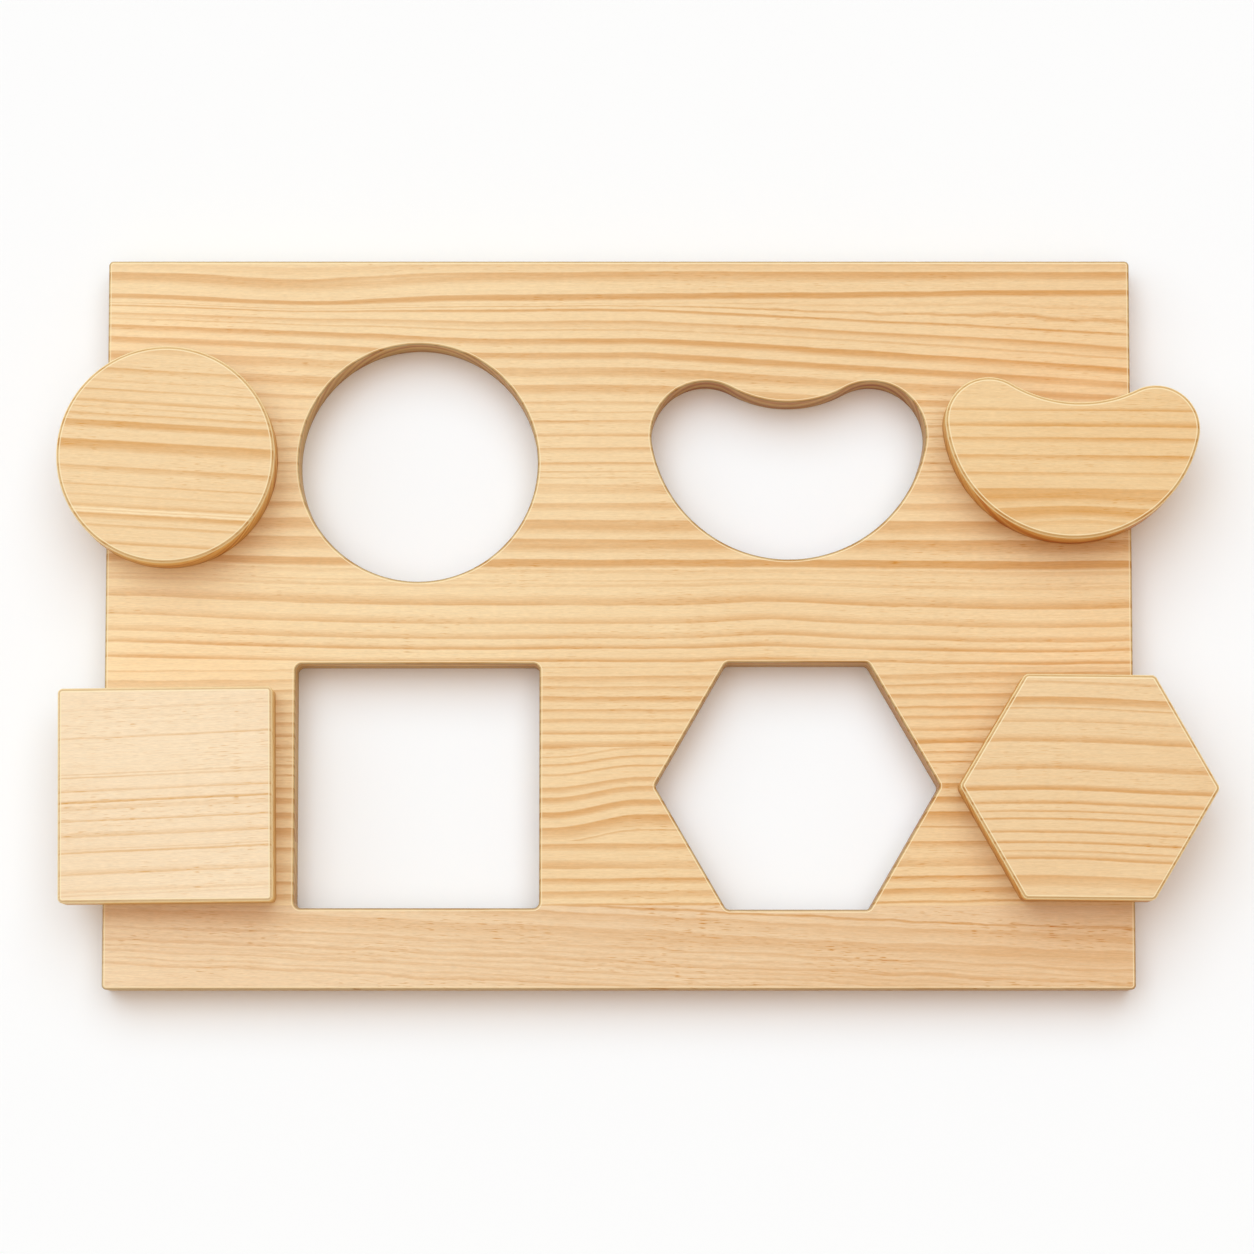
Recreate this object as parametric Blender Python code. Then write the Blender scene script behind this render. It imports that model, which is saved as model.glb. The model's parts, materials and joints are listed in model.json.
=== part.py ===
"""Shape board: a glued pine panel with four openings, and the four blocks that fit them.

Units are metres and +Z is up. The origin is the middle of the panel's underside. +X runs
to the right along the grain, and +Y runs to the far long edge. The panel is modelled as the
workshop makes it: glued up, routed as one sheet, and then shown as its separate staves.
"""

import math

import bmesh
import bpy
from mathutils import Vector

MM = 0.001

# Panel
PANEL_LENGTH = 400 * MM
PANEL_WIDTH = 285 * MM
PANEL_THICKNESS = 20 * MM
PANEL_CORNER = 1.8 * MM
PANEL_ROUND = 1.1 * MM  # radius that eases every routed edge of the panel

# Places of the openings, from the middle of the panel
UPPER_ROW_Y = 62.8 * MM
LOWER_ROW_Y = -63.6 * MM
LEFT_COLUMN_X = -78.3 * MM
RIGHT_COLUMN_X = 69.3 * MM
BEAN_SHIFT = -3 * MM  # the bean stands a little left of the hexagon below it
BEAN_RISE = 16.1 * MM  # from the row to the centre of the bean's belly arc

# Openings
CIRCLE_DIAMETER = 93.2 * MM
SQUARE_SIDE = 94.8 * MM
SQUARE_CORNER = 2.4 * MM
HEXAGON_FLATS = 95.9 * MM
HEXAGON_CORNER = 2.2 * MM
BEAN_BELLY_RADIUS = 54 * MM
BEAN_LOBE_RADIUS = 21.2 * MM
BEAN_LOBE_DROP = math.radians(9.5)  # how far round the belly the lobes sit below its centre
BEAN_DIP_RADIUS = 47 * MM

# Play between each opening and its block, on every side
CIRCLE_PLAY = 4.3 * MM
SQUARE_PLAY = 6.1 * MM
HEXAGON_PLAY = 4.6 * MM
BEAN_PLAY = 4.2 * MM

# Blocks
BLOCK_THICKNESS = 20 * MM
BLOCK_ROUND = 1.4 * MM
SQUARE_BLOCK_CORNER = 2 * MM
HEXAGON_BLOCK_CORNER = 2.4 * MM
REST_GAP = 0.3 * MM  # between the panel's top face and a block that lies on it

# Where the blocks lie: how far each hangs past the panel's end, how far it lies from its
# opening across the panel, and its turn
DISC_OVERHANG = 17.6 * MM
DISC_ASIDE = 0.6 * MM
SQUARE_OVERHANG = 15.5 * MM
SQUARE_ASIDE = -4.6 * MM
SQUARE_TURN = math.radians(0.6)
HEXAGON_OVERHANG = 30.7 * MM
HEXAGON_ASIDE = -1.6 * MM
HEXAGON_TURN = math.radians(-0.6)
BEAN_OVERHANG = 25.2 * MM
BEAN_ASIDE = 1.6 * MM
BEAN_TURN = math.radians(-2.8)

# Glue lines. The outer two run through the lower openings just inside their long edges, and
# the inner two cross the lower row.
GLUE_GAP = 0.3 * MM
EDGE_BITE = 1 * MM
SECOND_GLUE_ABOVE_ROW = 15.1 * MM
THIRD_GLUE_BELOW_ROW = 21.4 * MM

# Smoothness
ARC_TOLERANCE = 0.03 * MM  # how far a facet may lie inside its arc
LEAST_ARC_STEPS = 4
ROUND_STEPS = 3
SHARPEST = 0.1 * MM  # smallest radius that easing leaves at a corner
CUT_TOLERANCE = 0.001 * MM
SHARP_ANGLE = math.radians(40)

# Pine tones, linear colour
PALE_PINE = (0.83, 0.62, 0.36)
HONEY_PINE = (0.78, 0.54, 0.28)
ROSY_PINE = (0.76, 0.53, 0.31)
GOLDEN_PINE = (0.80, 0.55, 0.27)
SATIN_ROUGHNESS = 0.42


def clear_scene():
    """Remove what the scene holds at the start."""
    for thing in list(bpy.data.objects):
        bpy.data.objects.remove(thing, do_unlink=True)


def arc(centre, radius, offset, start, sweep, closed=False):
    """Points along an arc that is set off by an offset, with its end unless it is closed.

    The number of points follows from the radius before the offset, so that the rings of one
    wall match. A negative sweep runs clockwise round a hollow, where the offset shrinks it.
    """
    facet = 2 * math.acos(1 - min(ARC_TOLERANCE / radius, 1))
    steps = max(LEAST_ARC_STEPS, math.ceil(abs(sweep) / facet))
    reach = max(radius + math.copysign(offset, offset * sweep), SHARPEST)
    count = steps if closed else steps + 1
    angles = [start + sweep * step / steps for step in range(count)]
    return [centre + reach * Vector((math.cos(angle), math.sin(angle))) for angle in angles]


def circle_outline(diameter):
    """A circle round the origin, as a function of an offset."""

    def points(offset):
        return arc(Vector((0, 0)), diameter / 2, offset, 0, math.tau, closed=True)

    return points


def rectangle_outline(length, width, corner):
    """A rectangle with rounded corners, as a function of an offset."""
    along, across = length / 2 - corner, width / 2 - corner
    signs = ((1, 1), (-1, 1), (-1, -1), (1, -1))

    def points(offset):
        found = []
        for turn, (sign_x, sign_y) in enumerate(signs):
            centre = Vector((sign_x * along, sign_y * across))
            found += arc(centre, corner, offset, turn * math.pi / 2, math.pi / 2)
        return found

    return points


def hexagon_outline(flats, corner):
    """A regular hexagon with corners to the left and right, as a function of an offset."""
    sides = 6
    reach = (flats / 2 - corner) / math.cos(math.pi / sides)
    share = math.tau / sides

    def points(offset):
        found = []
        for side in range(sides):
            middle = side * share
            centre = reach * Vector((math.cos(middle), math.sin(middle)))
            found += arc(centre, corner, offset, middle - share / 2, share)
        return found

    return points


def bean_outline(inset):
    """The bean: a belly, two lobes inside it and a dip, four arcs that meet at tangents.

    The origin is the centre of the belly arc. An inset draws the whole outline in, which
    keeps every centre and so gives the block the opening's exact shape.
    """
    belly, lobe = BEAN_BELLY_RADIUS - inset, BEAN_LOBE_RADIUS - inset
    dip = BEAN_DIP_RADIUS + inset
    drop = BEAN_LOBE_DROP
    right = (belly - lobe) * Vector((math.cos(drop), -math.sin(drop)))
    left = Vector((-right.x, right.y))
    rise = math.sqrt((lobe + dip) ** 2 - right.x**2)
    above = Vector((0, right.y + rise))
    lean = math.atan2(rise, -right.x)  # from a lobe's centre to the dip's

    def points(offset):
        found = arc(right, lobe, offset, -drop, lean + drop)[:-1]
        found += arc(above, dip, offset, lean - math.pi, math.pi - 2 * lean)[:-1]
        found += arc(left, lobe, offset, math.pi - lean, lean + drop)[:-1]
        found += arc(Vector((0, 0)), belly, offset, math.pi + drop, math.pi - 2 * drop)[:-1]
        return found

    return points


def moved(outline, place):
    """The same outline at another place."""
    return lambda offset: [point + Vector(place) for point in outline(offset)]


def edge_profile(thickness, rounding):
    """(inset, height) pairs up an eased edge, the straight wall and the upper eased edge."""
    lower = []
    for step in range(ROUND_STEPS + 1):
        angle = math.pi / 2 * step / ROUND_STEPS
        lower.append((rounding * (1 - math.sin(angle)), rounding * (1 - math.cos(angle))))
    upper = [(inset, thickness - height) for inset, height in reversed(lower)]
    return lower + upper


def add_wall(bm, outline, profile, side):
    """Build the wall along an outline and return its lowest and highest rings of edges.

    The side is -1 where wood lies inside the outline and 1 where it lies outside it.
    """
    rings = []
    for inset, height in profile:
        points = outline(side * inset)
        rings.append([bm.verts.new((point.x, point.y, height)) for point in points])
    for low, high in zip(rings, rings[1:]):
        for here in range(len(low)):
            beyond = (here + 1) % len(low)
            bm.faces.new((low[here], low[beyond], high[beyond], high[here]))
    return [ring_edges(bm, ring) for ring in (rings[0], rings[-1])]


def ring_edges(bm, ring):
    """The edges that join a ring of vertices."""
    return [bm.edges.get(pair) for pair in zip(ring, ring[1:] + ring[:1])]


def routed_sheet(outer, openings, thickness, rounding):
    """A sheet with eased edges all round it and round each of its openings."""
    bm = bmesh.new()
    profile = edge_profile(thickness, rounding)
    walls = [add_wall(bm, outer, profile, -1)]
    walls += [add_wall(bm, opening, profile, 1) for opening in openings]
    for face in zip(*walls):
        edges = [edge for ring in face for edge in ring]
        bmesh.ops.triangle_fill(bm, edges=edges, use_beauty=True)
    bmesh.ops.recalc_face_normals(bm, faces=bm.faces)
    return bm


def trim(bm, point, outward):
    """Cut away what lies past a plane, on the side its normal points to, and close the cut."""
    everything = bm.verts[:] + bm.edges[:] + bm.faces[:]
    cut = bmesh.ops.bisect_plane(
        bm,
        geom=everything,
        dist=CUT_TOLERANCE,
        plane_co=point,
        plane_no=outward,
        clear_outer=True,
    )
    edges = [item for item in cut["geom_cut"] if isinstance(item, bmesh.types.BMEdge)]
    if edges:
        bmesh.ops.edgeloop_fill(bm, edges=edges)


def pine(name, colour):
    """A clear satin finish on pine."""
    material = bpy.data.materials.new(name)
    material.use_nodes = True
    shader = material.node_tree.nodes["Principled BSDF"]
    shader.inputs["Base Color"].default_value = (*colour, 1)
    shader.inputs["Roughness"].default_value = SATIN_ROUGHNESS
    shader.inputs["Metallic"].default_value = 0
    return material


def finish_piece(name, bm, colour):
    """Turn a bmesh into a named object with smooth rounds and its own material."""
    bmesh.ops.recalc_face_normals(bm, faces=bm.faces)
    mesh = bpy.data.meshes.new(name)
    bm.to_mesh(mesh)
    bm.free()
    mesh.shade_smooth()
    mesh.set_sharp_from_angle(angle=SHARP_ANGLE)
    mesh.materials.append(pine(name, colour))
    piece = bpy.data.objects.new(name, mesh)
    bpy.context.collection.objects.link(piece)
    return piece


def panel_openings():
    """The four openings of the panel at their places."""
    bean_place = (RIGHT_COLUMN_X + BEAN_SHIFT, UPPER_ROW_Y + BEAN_RISE)
    square = rectangle_outline(SQUARE_SIDE, SQUARE_SIDE, SQUARE_CORNER)
    return [
        moved(circle_outline(CIRCLE_DIAMETER), (LEFT_COLUMN_X, UPPER_ROW_Y)),
        moved(bean_outline(0), bean_place),
        moved(square, (LEFT_COLUMN_X, LOWER_ROW_Y)),
        moved(hexagon_outline(HEXAGON_FLATS, HEXAGON_CORNER), (RIGHT_COLUMN_X, LOWER_ROW_Y)),
    ]


def glue_lines():
    """Heights across the panel of the four glue lines, from the far one to the near one."""
    edge = min(SQUARE_SIDE, HEXAGON_FLATS) / 2 - EDGE_BITE
    second = LOWER_ROW_Y + SECOND_GLUE_ABOVE_ROW
    third = LOWER_ROW_Y - THIRD_GLUE_BELOW_ROW
    return (LOWER_ROW_Y + edge, second, third, LOWER_ROW_Y - edge)


def stave_piece(name, panel, far, near, left, right, colour):
    """One piece of the panel, between two glue lines and two openings.

    A limit of None leaves the panel's own edge there.
    """
    bm = panel.copy()
    half_gap = GLUE_GAP / 2
    if far is not None:
        trim(bm, (0, far - half_gap, 0), (0, 1, 0))
    if near is not None:
        trim(bm, (0, near + half_gap, 0), (0, -1, 0))
    if left is not None:
        trim(bm, (left, 0, 0), (-1, 0, 0))
    if right is not None:
        trim(bm, (right, 0, 0), (1, 0, 0))
    return finish_piece(name, bm, colour)


def build_panel():
    """The glued panel: two whole staves, and three staves that the lower openings part."""
    outer = rectangle_outline(PANEL_LENGTH, PANEL_WIDTH, PANEL_CORNER)
    panel = routed_sheet(outer, panel_openings(), PANEL_THICKNESS, PANEL_ROUND)
    first, second, third, fourth = glue_lines()
    stave_piece("upper_stave", panel, None, first, None, None, HONEY_PINE)
    middle_staves = (
        ("second_stave", first, second, HONEY_PINE),
        ("third_stave", second, third, GOLDEN_PINE),
        ("fourth_stave", third, fourth, HONEY_PINE),
    )
    parts = (
        ("left", None, LEFT_COLUMN_X),
        ("middle", LEFT_COLUMN_X, RIGHT_COLUMN_X),
        ("right", RIGHT_COLUMN_X, None),
    )
    for stave, far, near, colour in middle_staves:
        for part, left, right in parts:
            stave_piece(f"{stave}_{part}", panel, far, near, left, right, colour)
    stave_piece("lower_stave", panel, fourth, None, None, None, ROSY_PINE)
    panel.free()


def build_block(name, outline, place, turn, colour):
    """A block with eased edges that lies on the panel. It lifts straight up from there."""
    bm = routed_sheet(outline, [], BLOCK_THICKNESS, BLOCK_ROUND)
    block = finish_piece(name, bm, colour)
    block.location = (*place, PANEL_THICKNESS + REST_GAP)
    block.rotation_euler.z = turn
    return block


def end_place(side, overhang, half_length):
    """Where a block's origin lies along the panel, so that it hangs past one of its ends."""
    return side * (PANEL_LENGTH / 2 + overhang - half_length)


def build_disc():
    """The disc, which fits the circle."""
    diameter = CIRCLE_DIAMETER - 2 * CIRCLE_PLAY
    place = (end_place(-1, DISC_OVERHANG, diameter / 2), UPPER_ROW_Y + DISC_ASIDE)
    build_block("disc_block", circle_outline(diameter), place, 0, GOLDEN_PINE)


def build_square():
    """The square block."""
    side = SQUARE_SIDE - 2 * SQUARE_PLAY
    outline = rectangle_outline(side, side, SQUARE_BLOCK_CORNER)
    place = (end_place(-1, SQUARE_OVERHANG, side / 2), LOWER_ROW_Y + SQUARE_ASIDE)
    build_block("square_block", outline, place, SQUARE_TURN, PALE_PINE)


def build_hexagon():
    """The hexagon block, whose corners point along the panel."""
    flats = HEXAGON_FLATS - 2 * HEXAGON_PLAY
    outline = hexagon_outline(flats, HEXAGON_BLOCK_CORNER)
    half_length = max(point.x for point in outline(0))
    place = (end_place(1, HEXAGON_OVERHANG, half_length), LOWER_ROW_Y + HEXAGON_ASIDE)
    build_block("hexagon_block", outline, place, HEXAGON_TURN, GOLDEN_PINE)


def build_bean():
    """The bean block, the bean opening drawn in by its play."""
    outline = bean_outline(BEAN_PLAY)
    half_length = max(point.x for point in outline(0))
    place = (end_place(1, BEAN_OVERHANG, half_length), UPPER_ROW_Y + BEAN_RISE + BEAN_ASIDE)
    build_block("bean_block", outline, place, BEAN_TURN, HONEY_PINE)


def main():
    """Build the panel and then the four blocks on it."""
    clear_scene()
    build_panel()
    build_disc()
    build_square()
    build_bean()
    build_hexagon()


main()
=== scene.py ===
"""The looks of a pine shape board: a routed, glued panel and the four blocks that lie on it.

Everything is in metres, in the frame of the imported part: +X runs to the right along the
grain, +Y to the far long edge and +Z up. Each stave and block is modelled afresh with fine
eased edges in the place of its plain solid, and dressed in its own piece of pine.
"""

from __future__ import annotations

import json
import logging
import math
from collections import defaultdict
from collections.abc import Callable, Iterator, Sequence
from contextlib import contextmanager
from dataclasses import dataclass
from enum import Enum
from typing import ClassVar

import bpy
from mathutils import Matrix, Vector

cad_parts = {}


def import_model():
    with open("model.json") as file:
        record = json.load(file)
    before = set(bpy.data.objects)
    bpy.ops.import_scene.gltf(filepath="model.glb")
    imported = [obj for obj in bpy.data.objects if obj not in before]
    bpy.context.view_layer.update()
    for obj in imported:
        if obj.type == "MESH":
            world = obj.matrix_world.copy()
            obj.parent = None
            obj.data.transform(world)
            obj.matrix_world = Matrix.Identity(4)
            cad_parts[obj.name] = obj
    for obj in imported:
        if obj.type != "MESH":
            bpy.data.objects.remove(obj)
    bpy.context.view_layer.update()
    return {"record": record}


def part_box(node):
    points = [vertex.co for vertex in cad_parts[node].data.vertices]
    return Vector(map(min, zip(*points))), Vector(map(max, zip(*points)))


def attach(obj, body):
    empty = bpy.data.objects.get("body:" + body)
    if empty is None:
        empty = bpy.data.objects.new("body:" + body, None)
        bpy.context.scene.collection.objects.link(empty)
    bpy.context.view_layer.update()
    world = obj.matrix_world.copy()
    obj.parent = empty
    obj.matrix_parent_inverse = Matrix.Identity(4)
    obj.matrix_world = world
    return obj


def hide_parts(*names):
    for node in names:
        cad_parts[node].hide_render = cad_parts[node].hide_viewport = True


LOG = logging.getLogger("shape_board")
MM = 0.001
Piece = bpy.types.Object
Colour = tuple[float, float, float]
Span = tuple[float, float]


class Mode(Enum):
    """What edit mode selects."""

    VERTEX = (True, False, False)
    EDGE = (False, True, False)


def deselect_everything() -> None:
    """Leave no object selected, so that operators act on new pieces alone."""
    bpy.ops.object.select_all(action="DESELECT")


def make_active(piece: Piece) -> None:
    """Select one object alone and make it the active one.

    Args:
        piece: the object to work on.
    """
    deselect_everything()
    piece.select_set(True)
    bpy.context.view_layer.objects.active = piece


@contextmanager
def editing(piece: Piece, mode: Mode) -> Iterator[None]:
    """Work on a piece in edit mode and come back to object mode.

    Args:
        piece: the object to edit.
        mode: what is selected there.
    """
    make_active(piece)
    bpy.context.tool_settings.mesh_select_mode = mode.value
    bpy.ops.object.mode_set(mode="EDIT")
    yield
    bpy.ops.object.mode_set(mode="OBJECT")


def settle(piece: Piece) -> None:
    """Put a piece's place, turn and scale into its mesh."""
    make_active(piece)
    bpy.ops.object.transform_apply(location=True, rotation=True, scale=True)


def apply_modifier(piece: Piece, kind: str, **settings: object) -> None:
    """Change a piece's mesh by a modifier.

    Args:
        piece: the object to change.
        kind: Blender's name of the modifier type.
        settings: its properties.
    """
    make_active(piece)
    modifier = piece.modifiers.new(kind, kind)
    for key, value in settings.items():
        setattr(modifier, key, value)
    bpy.ops.object.modifier_apply(modifier=modifier.name)


def cut_away(piece: Piece, cutter: Piece) -> None:
    """Cut a closed shape out of a piece of wood and remove the cutter."""
    apply_modifier(piece, "BOOLEAN", object=cutter, operation="DIFFERENCE", solver="EXACT")
    bpy.data.objects.remove(cutter, do_unlink=True)


def bevel_where(
    piece: Piece,
    wanted: Callable[[Vector, list[Vector]], bool],
    width: float,
    segments: int,
) -> None:
    """Round the edges that pass a test.

    Args:
        piece: the object whose edges are rounded.
        wanted: a test of an edge's direction and the normals of its faces.
        width: how far the round reaches along each face.
        segments: the facets across the round.
    """
    mesh = piece.data
    normals: dict[tuple[int, int], list[Vector]] = defaultdict(list)
    for face in mesh.polygons:
        for key in face.edge_keys:
            normals[key].append(face.normal.copy())
    for group in (mesh.vertices, mesh.edges, mesh.polygons):
        group.foreach_set("select", [False] * len(group))
    for edge in mesh.edges:
        start, end = (mesh.vertices[index].co for index in edge.vertices)
        if wanted((end - start).normalized(), normals[edge.key]):
            edge.select = True
            for index in edge.vertices:
                mesh.vertices[index].select = True
    with editing(piece, Mode.EDGE):
        bpy.ops.mesh.bevel(offset=width, segments=segments, clamp_overlap=False)


# How upright a face or an edge stands, 1 for wholly and 0 for not at all.
FULLY = 0.99
HARDLY = 0.01


def is_upright_corner(direction: Vector, normals: list[Vector]) -> bool:
    """Whether an edge is a sharp upright corner between two walls."""
    sharp = len(normals) == 2 and normals[0].dot(normals[1]) < FULLY
    return abs(direction.z) > FULLY and sharp


def is_rim(direction: Vector, normals: list[Vector]) -> bool:
    """Whether an edge lies between a flat face and a wall."""
    heights = sorted(abs(normal.z) for normal in normals)
    return abs(direction.z) < HARDLY and heights[0] < HARDLY and heights[-1] > FULLY


def smooth(piece: Piece, angle: float) -> None:
    """Shade a piece smooth across its rounds and keep its large faces flat.

    Args:
        piece: the object to shade.
        angle: the angle from which an edge stays sharp.
    """
    make_active(piece)
    bpy.ops.object.shade_smooth_by_angle(angle=angle)
    apply_modifier(piece, "WEIGHTED_NORMAL", keep_sharp=True)


@dataclass(frozen=True)
class Fineness:
    """How finely curves and eased edges are modelled.

    Args:
        circle: facets round a full circle.
        corner: facets round an upright corner.
        easing: facets across an eased edge.
        smooth_angle: the angle from which an edge is shaded sharp.
        weld: how near two points are merged.
    """

    circle: int = 192
    corner: int = 10
    easing: int = 6
    smooth_angle: float = math.radians(35)
    weld: float = 0.01 * MM


FINE = Fineness()


class Outline:
    """The plan of an opening or a block, which can be raised into a closed solid."""

    def draw(self) -> None:
        """Add a slab of this plan, one metre high, round the origin."""
        raise NotImplementedError

    def corner_reach(self) -> float:
        """How far the rounds of its upright corners reach along each wall."""
        return 0.0

    def raise_solid(self, name: str, low: float, high: float) -> Piece:
        """Model the outline as a solid between two heights.

        Args:
            name: the object's name.
            low: the height of its underside.
            high: the height of its top.

        Returns:
            The new object.
        """
        deselect_everything()
        self.draw()
        solid = bpy.context.object
        solid.name = name
        solid.scale.z = high - low
        solid.location.z = (low + high) / 2
        settle(solid)
        if self.corner_reach():
            bevel_where(solid, is_upright_corner, self.corner_reach(), FINE.corner)
        return solid


@dataclass(frozen=True)
class Round(Outline):
    """A circle.

    Args:
        diameter: its diameter.
    """

    diameter: float

    def draw(self) -> None:
        """Add a disc."""
        radius = self.diameter / 2
        bpy.ops.mesh.primitive_cylinder_add(vertices=FINE.circle, radius=radius, depth=1)


@dataclass(frozen=True)
class Rectangle(Outline):
    """A rectangle with rounded corners.

    Args:
        length: its size along X.
        width: its size along Y.
        corner: the radius of its corners.
    """

    length: float
    width: float
    corner: float

    def draw(self) -> None:
        """Add a slab."""
        bpy.ops.mesh.primitive_cube_add(size=1)
        bpy.context.object.scale = (self.length, self.width, 1)

    def corner_reach(self) -> float:
        """The reach at a right angle, which is the radius."""
        return self.corner


@dataclass(frozen=True)
class Hexagon(Outline):
    """A regular hexagon with rounded corners, two of which point along X.

    Args:
        flats: the distance between opposite sides.
        corner: the radius of its corners.
    """

    flats: float
    corner: float
    sides: ClassVar[int] = 6
    half_side: ClassVar[float] = math.pi / sides

    def draw(self) -> None:
        """Add a six-sided prism, turned until two corners point along X."""
        bpy.ops.mesh.primitive_cylinder_add(
            vertices=self.sides,
            radius=self.flats / 2 / math.cos(self.half_side),
            depth=1,
            rotation=(0, 0, self.half_side),
        )

    def corner_reach(self) -> float:
        """The reach at a hexagon's corner."""
        return self.corner * math.tan(self.half_side)


@dataclass(frozen=True)
class Bean(Outline):
    """Four arcs that meet at tangents: a belly, two lobes inside it and a dip between them.

    The origin is the centre of the belly.

    Args:
        inset: how far the whole outline is drawn in.
        belly: the radius of the belly.
        lobe: the radius of the lobes.
        dip: the radius of the dip.
        drop: the angle by which the lobes' centres lie under the belly's.
    """

    inset: float = 0.0
    belly: float = 54 * MM
    lobe: float = 21.2 * MM
    dip: float = 47 * MM
    drop: float = math.radians(9.5)

    def arcs(self) -> tuple[Vector, list[tuple[Vector, float]]]:
        """The outline as turns about centres.

        Returns:
            The point where the right lobe leaves the belly, and each arc's centre and angle
            in their order round the bean.
        """
        belly, lobe = self.belly - self.inset, self.lobe - self.inset
        dip = self.dip + self.inset
        away = Vector((math.cos(self.drop), -math.sin(self.drop), 0))
        right = (belly - lobe) * away
        left = Vector((-right.x, right.y, 0))
        rise = math.sqrt((lobe + dip) ** 2 - right.x**2)
        lean = math.atan2(rise, -right.x)
        turns = [
            (right, lean + self.drop),
            (Vector((0, right.y + rise, 0)), math.pi - 2 * lean),
            (left, lean + self.drop),
            (Vector((0, 0, 0)), math.pi - 2 * self.drop),
        ]
        return belly * away, turns

    def draw(self) -> None:
        """Spin one point round the four centres and raise the outline."""
        start, turns = self.arcs()
        floor = Vector((0, 0, -1)) / 2
        bpy.ops.mesh.primitive_plane_add(size=MM, location=start + floor)
        solid = bpy.context.object
        settle(solid)
        with editing(solid, Mode.VERTEX):
            bpy.ops.mesh.select_all(action="SELECT")
            bpy.ops.mesh.merge(type="CENTER")
            for centre, angle in turns:
                steps = math.ceil(abs(angle) / math.tau * FINE.circle)
                bpy.ops.mesh.spin(
                    steps=steps, angle=-angle, center=centre + floor, axis=(0, 0, 1)
                )
            bpy.ops.mesh.select_all(action="SELECT")
            bpy.ops.mesh.remove_doubles(threshold=FINE.weld)
            bpy.ops.mesh.edge_face_add()
            bpy.ops.mesh.extrude_region_move(TRANSFORM_OT_translate={"value": (0, 0, 1)})
            bpy.ops.mesh.select_all(action="SELECT")
            bpy.ops.mesh.normals_make_consistent(inside=False)


# The middle of Blender's noise, the values that a ramp spans and the bands that it holds.
NOISE_MIDDLE = 0.5
RAMP_SPAN = (-1.0, 1.0)
RAMP_BANDS = 7
# How two colours are blended, and the numbers of the node's sockets for colours.
BLEND = {"data_type": "RGBA", "clamp_factor": False}
BLEND_FIRST = 6
BLEND_SECOND = 7
BLEND_RESULT = 2
# How a hump falls away from its middle: evenly, or late and steeply.
EVENLY = 2
LATE = 4


def operator(operation: str, reflected: bool = False) -> Callable:
    """Make one of Python's operators for wires.

    Args:
        operation: Blender's name of the operation.
        reflected: whether the wire is its second input.

    Returns:
        The method, which adds a Math node.
    """

    def apply(wire: Wire, other: Value) -> Wire:
        """Add the Math node."""
        return wire.maths(operation, *((other, wire) if reflected else (wire, other)))

    return apply


class Wire:
    """A socket that Python's operators work on, so that shader maths reads as maths."""

    def __init__(self, bench: Bench, socket: bpy.types.NodeSocket) -> None:
        """Keep the socket and the bench that made it."""
        self.bench = bench
        self.socket = socket

    def maths(self, operation: str, *values: Value) -> Wire:
        """The result of one Math node, from Blender's name of the operation and its inputs."""
        inputs = dict(enumerate(values))
        return self.bench.node("ShaderNodeMath", {"operation": operation}, inputs)

    __add__, __radd__ = operator("ADD"), operator("ADD", reflected=True)
    __sub__, __rsub__ = operator("SUBTRACT"), operator("SUBTRACT", reflected=True)
    __mul__, __rmul__ = operator("MULTIPLY"), operator("MULTIPLY", reflected=True)
    __truediv__, __rtruediv__ = operator("DIVIDE"), operator("DIVIDE", reflected=True)
    __pow__, __rpow__ = operator("POWER"), operator("POWER", reflected=True)

    def __abs__(self) -> Wire:
        """This value without its sign."""
        return self.maths("ABSOLUTE", self)

    def softly_at_most(self, limit: float, softness: float) -> Wire:
        """The lesser of this value and a limit, with a gentle turn between them."""
        return self.maths("SMOOTH_MIN", self, limit, softness)

    def ramp_between(self, low: Value, high: Value, course: Course) -> Wire:
        """A step from 0 at one value to 1 at another, which climbs as its course says."""
        inputs = {"Value": self, "From Min": low, "From Max": high}
        return self.bench.node("ShaderNodeMapRange", {"interpolation_type": course.value}, inputs)

    def between(self, low: float, high: float) -> Wire:
        """A gentle step from 0 at one value to 1 at another."""
        return self.ramp_between(low, high, Course.GENTLE)


Value = Wire | float


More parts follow.
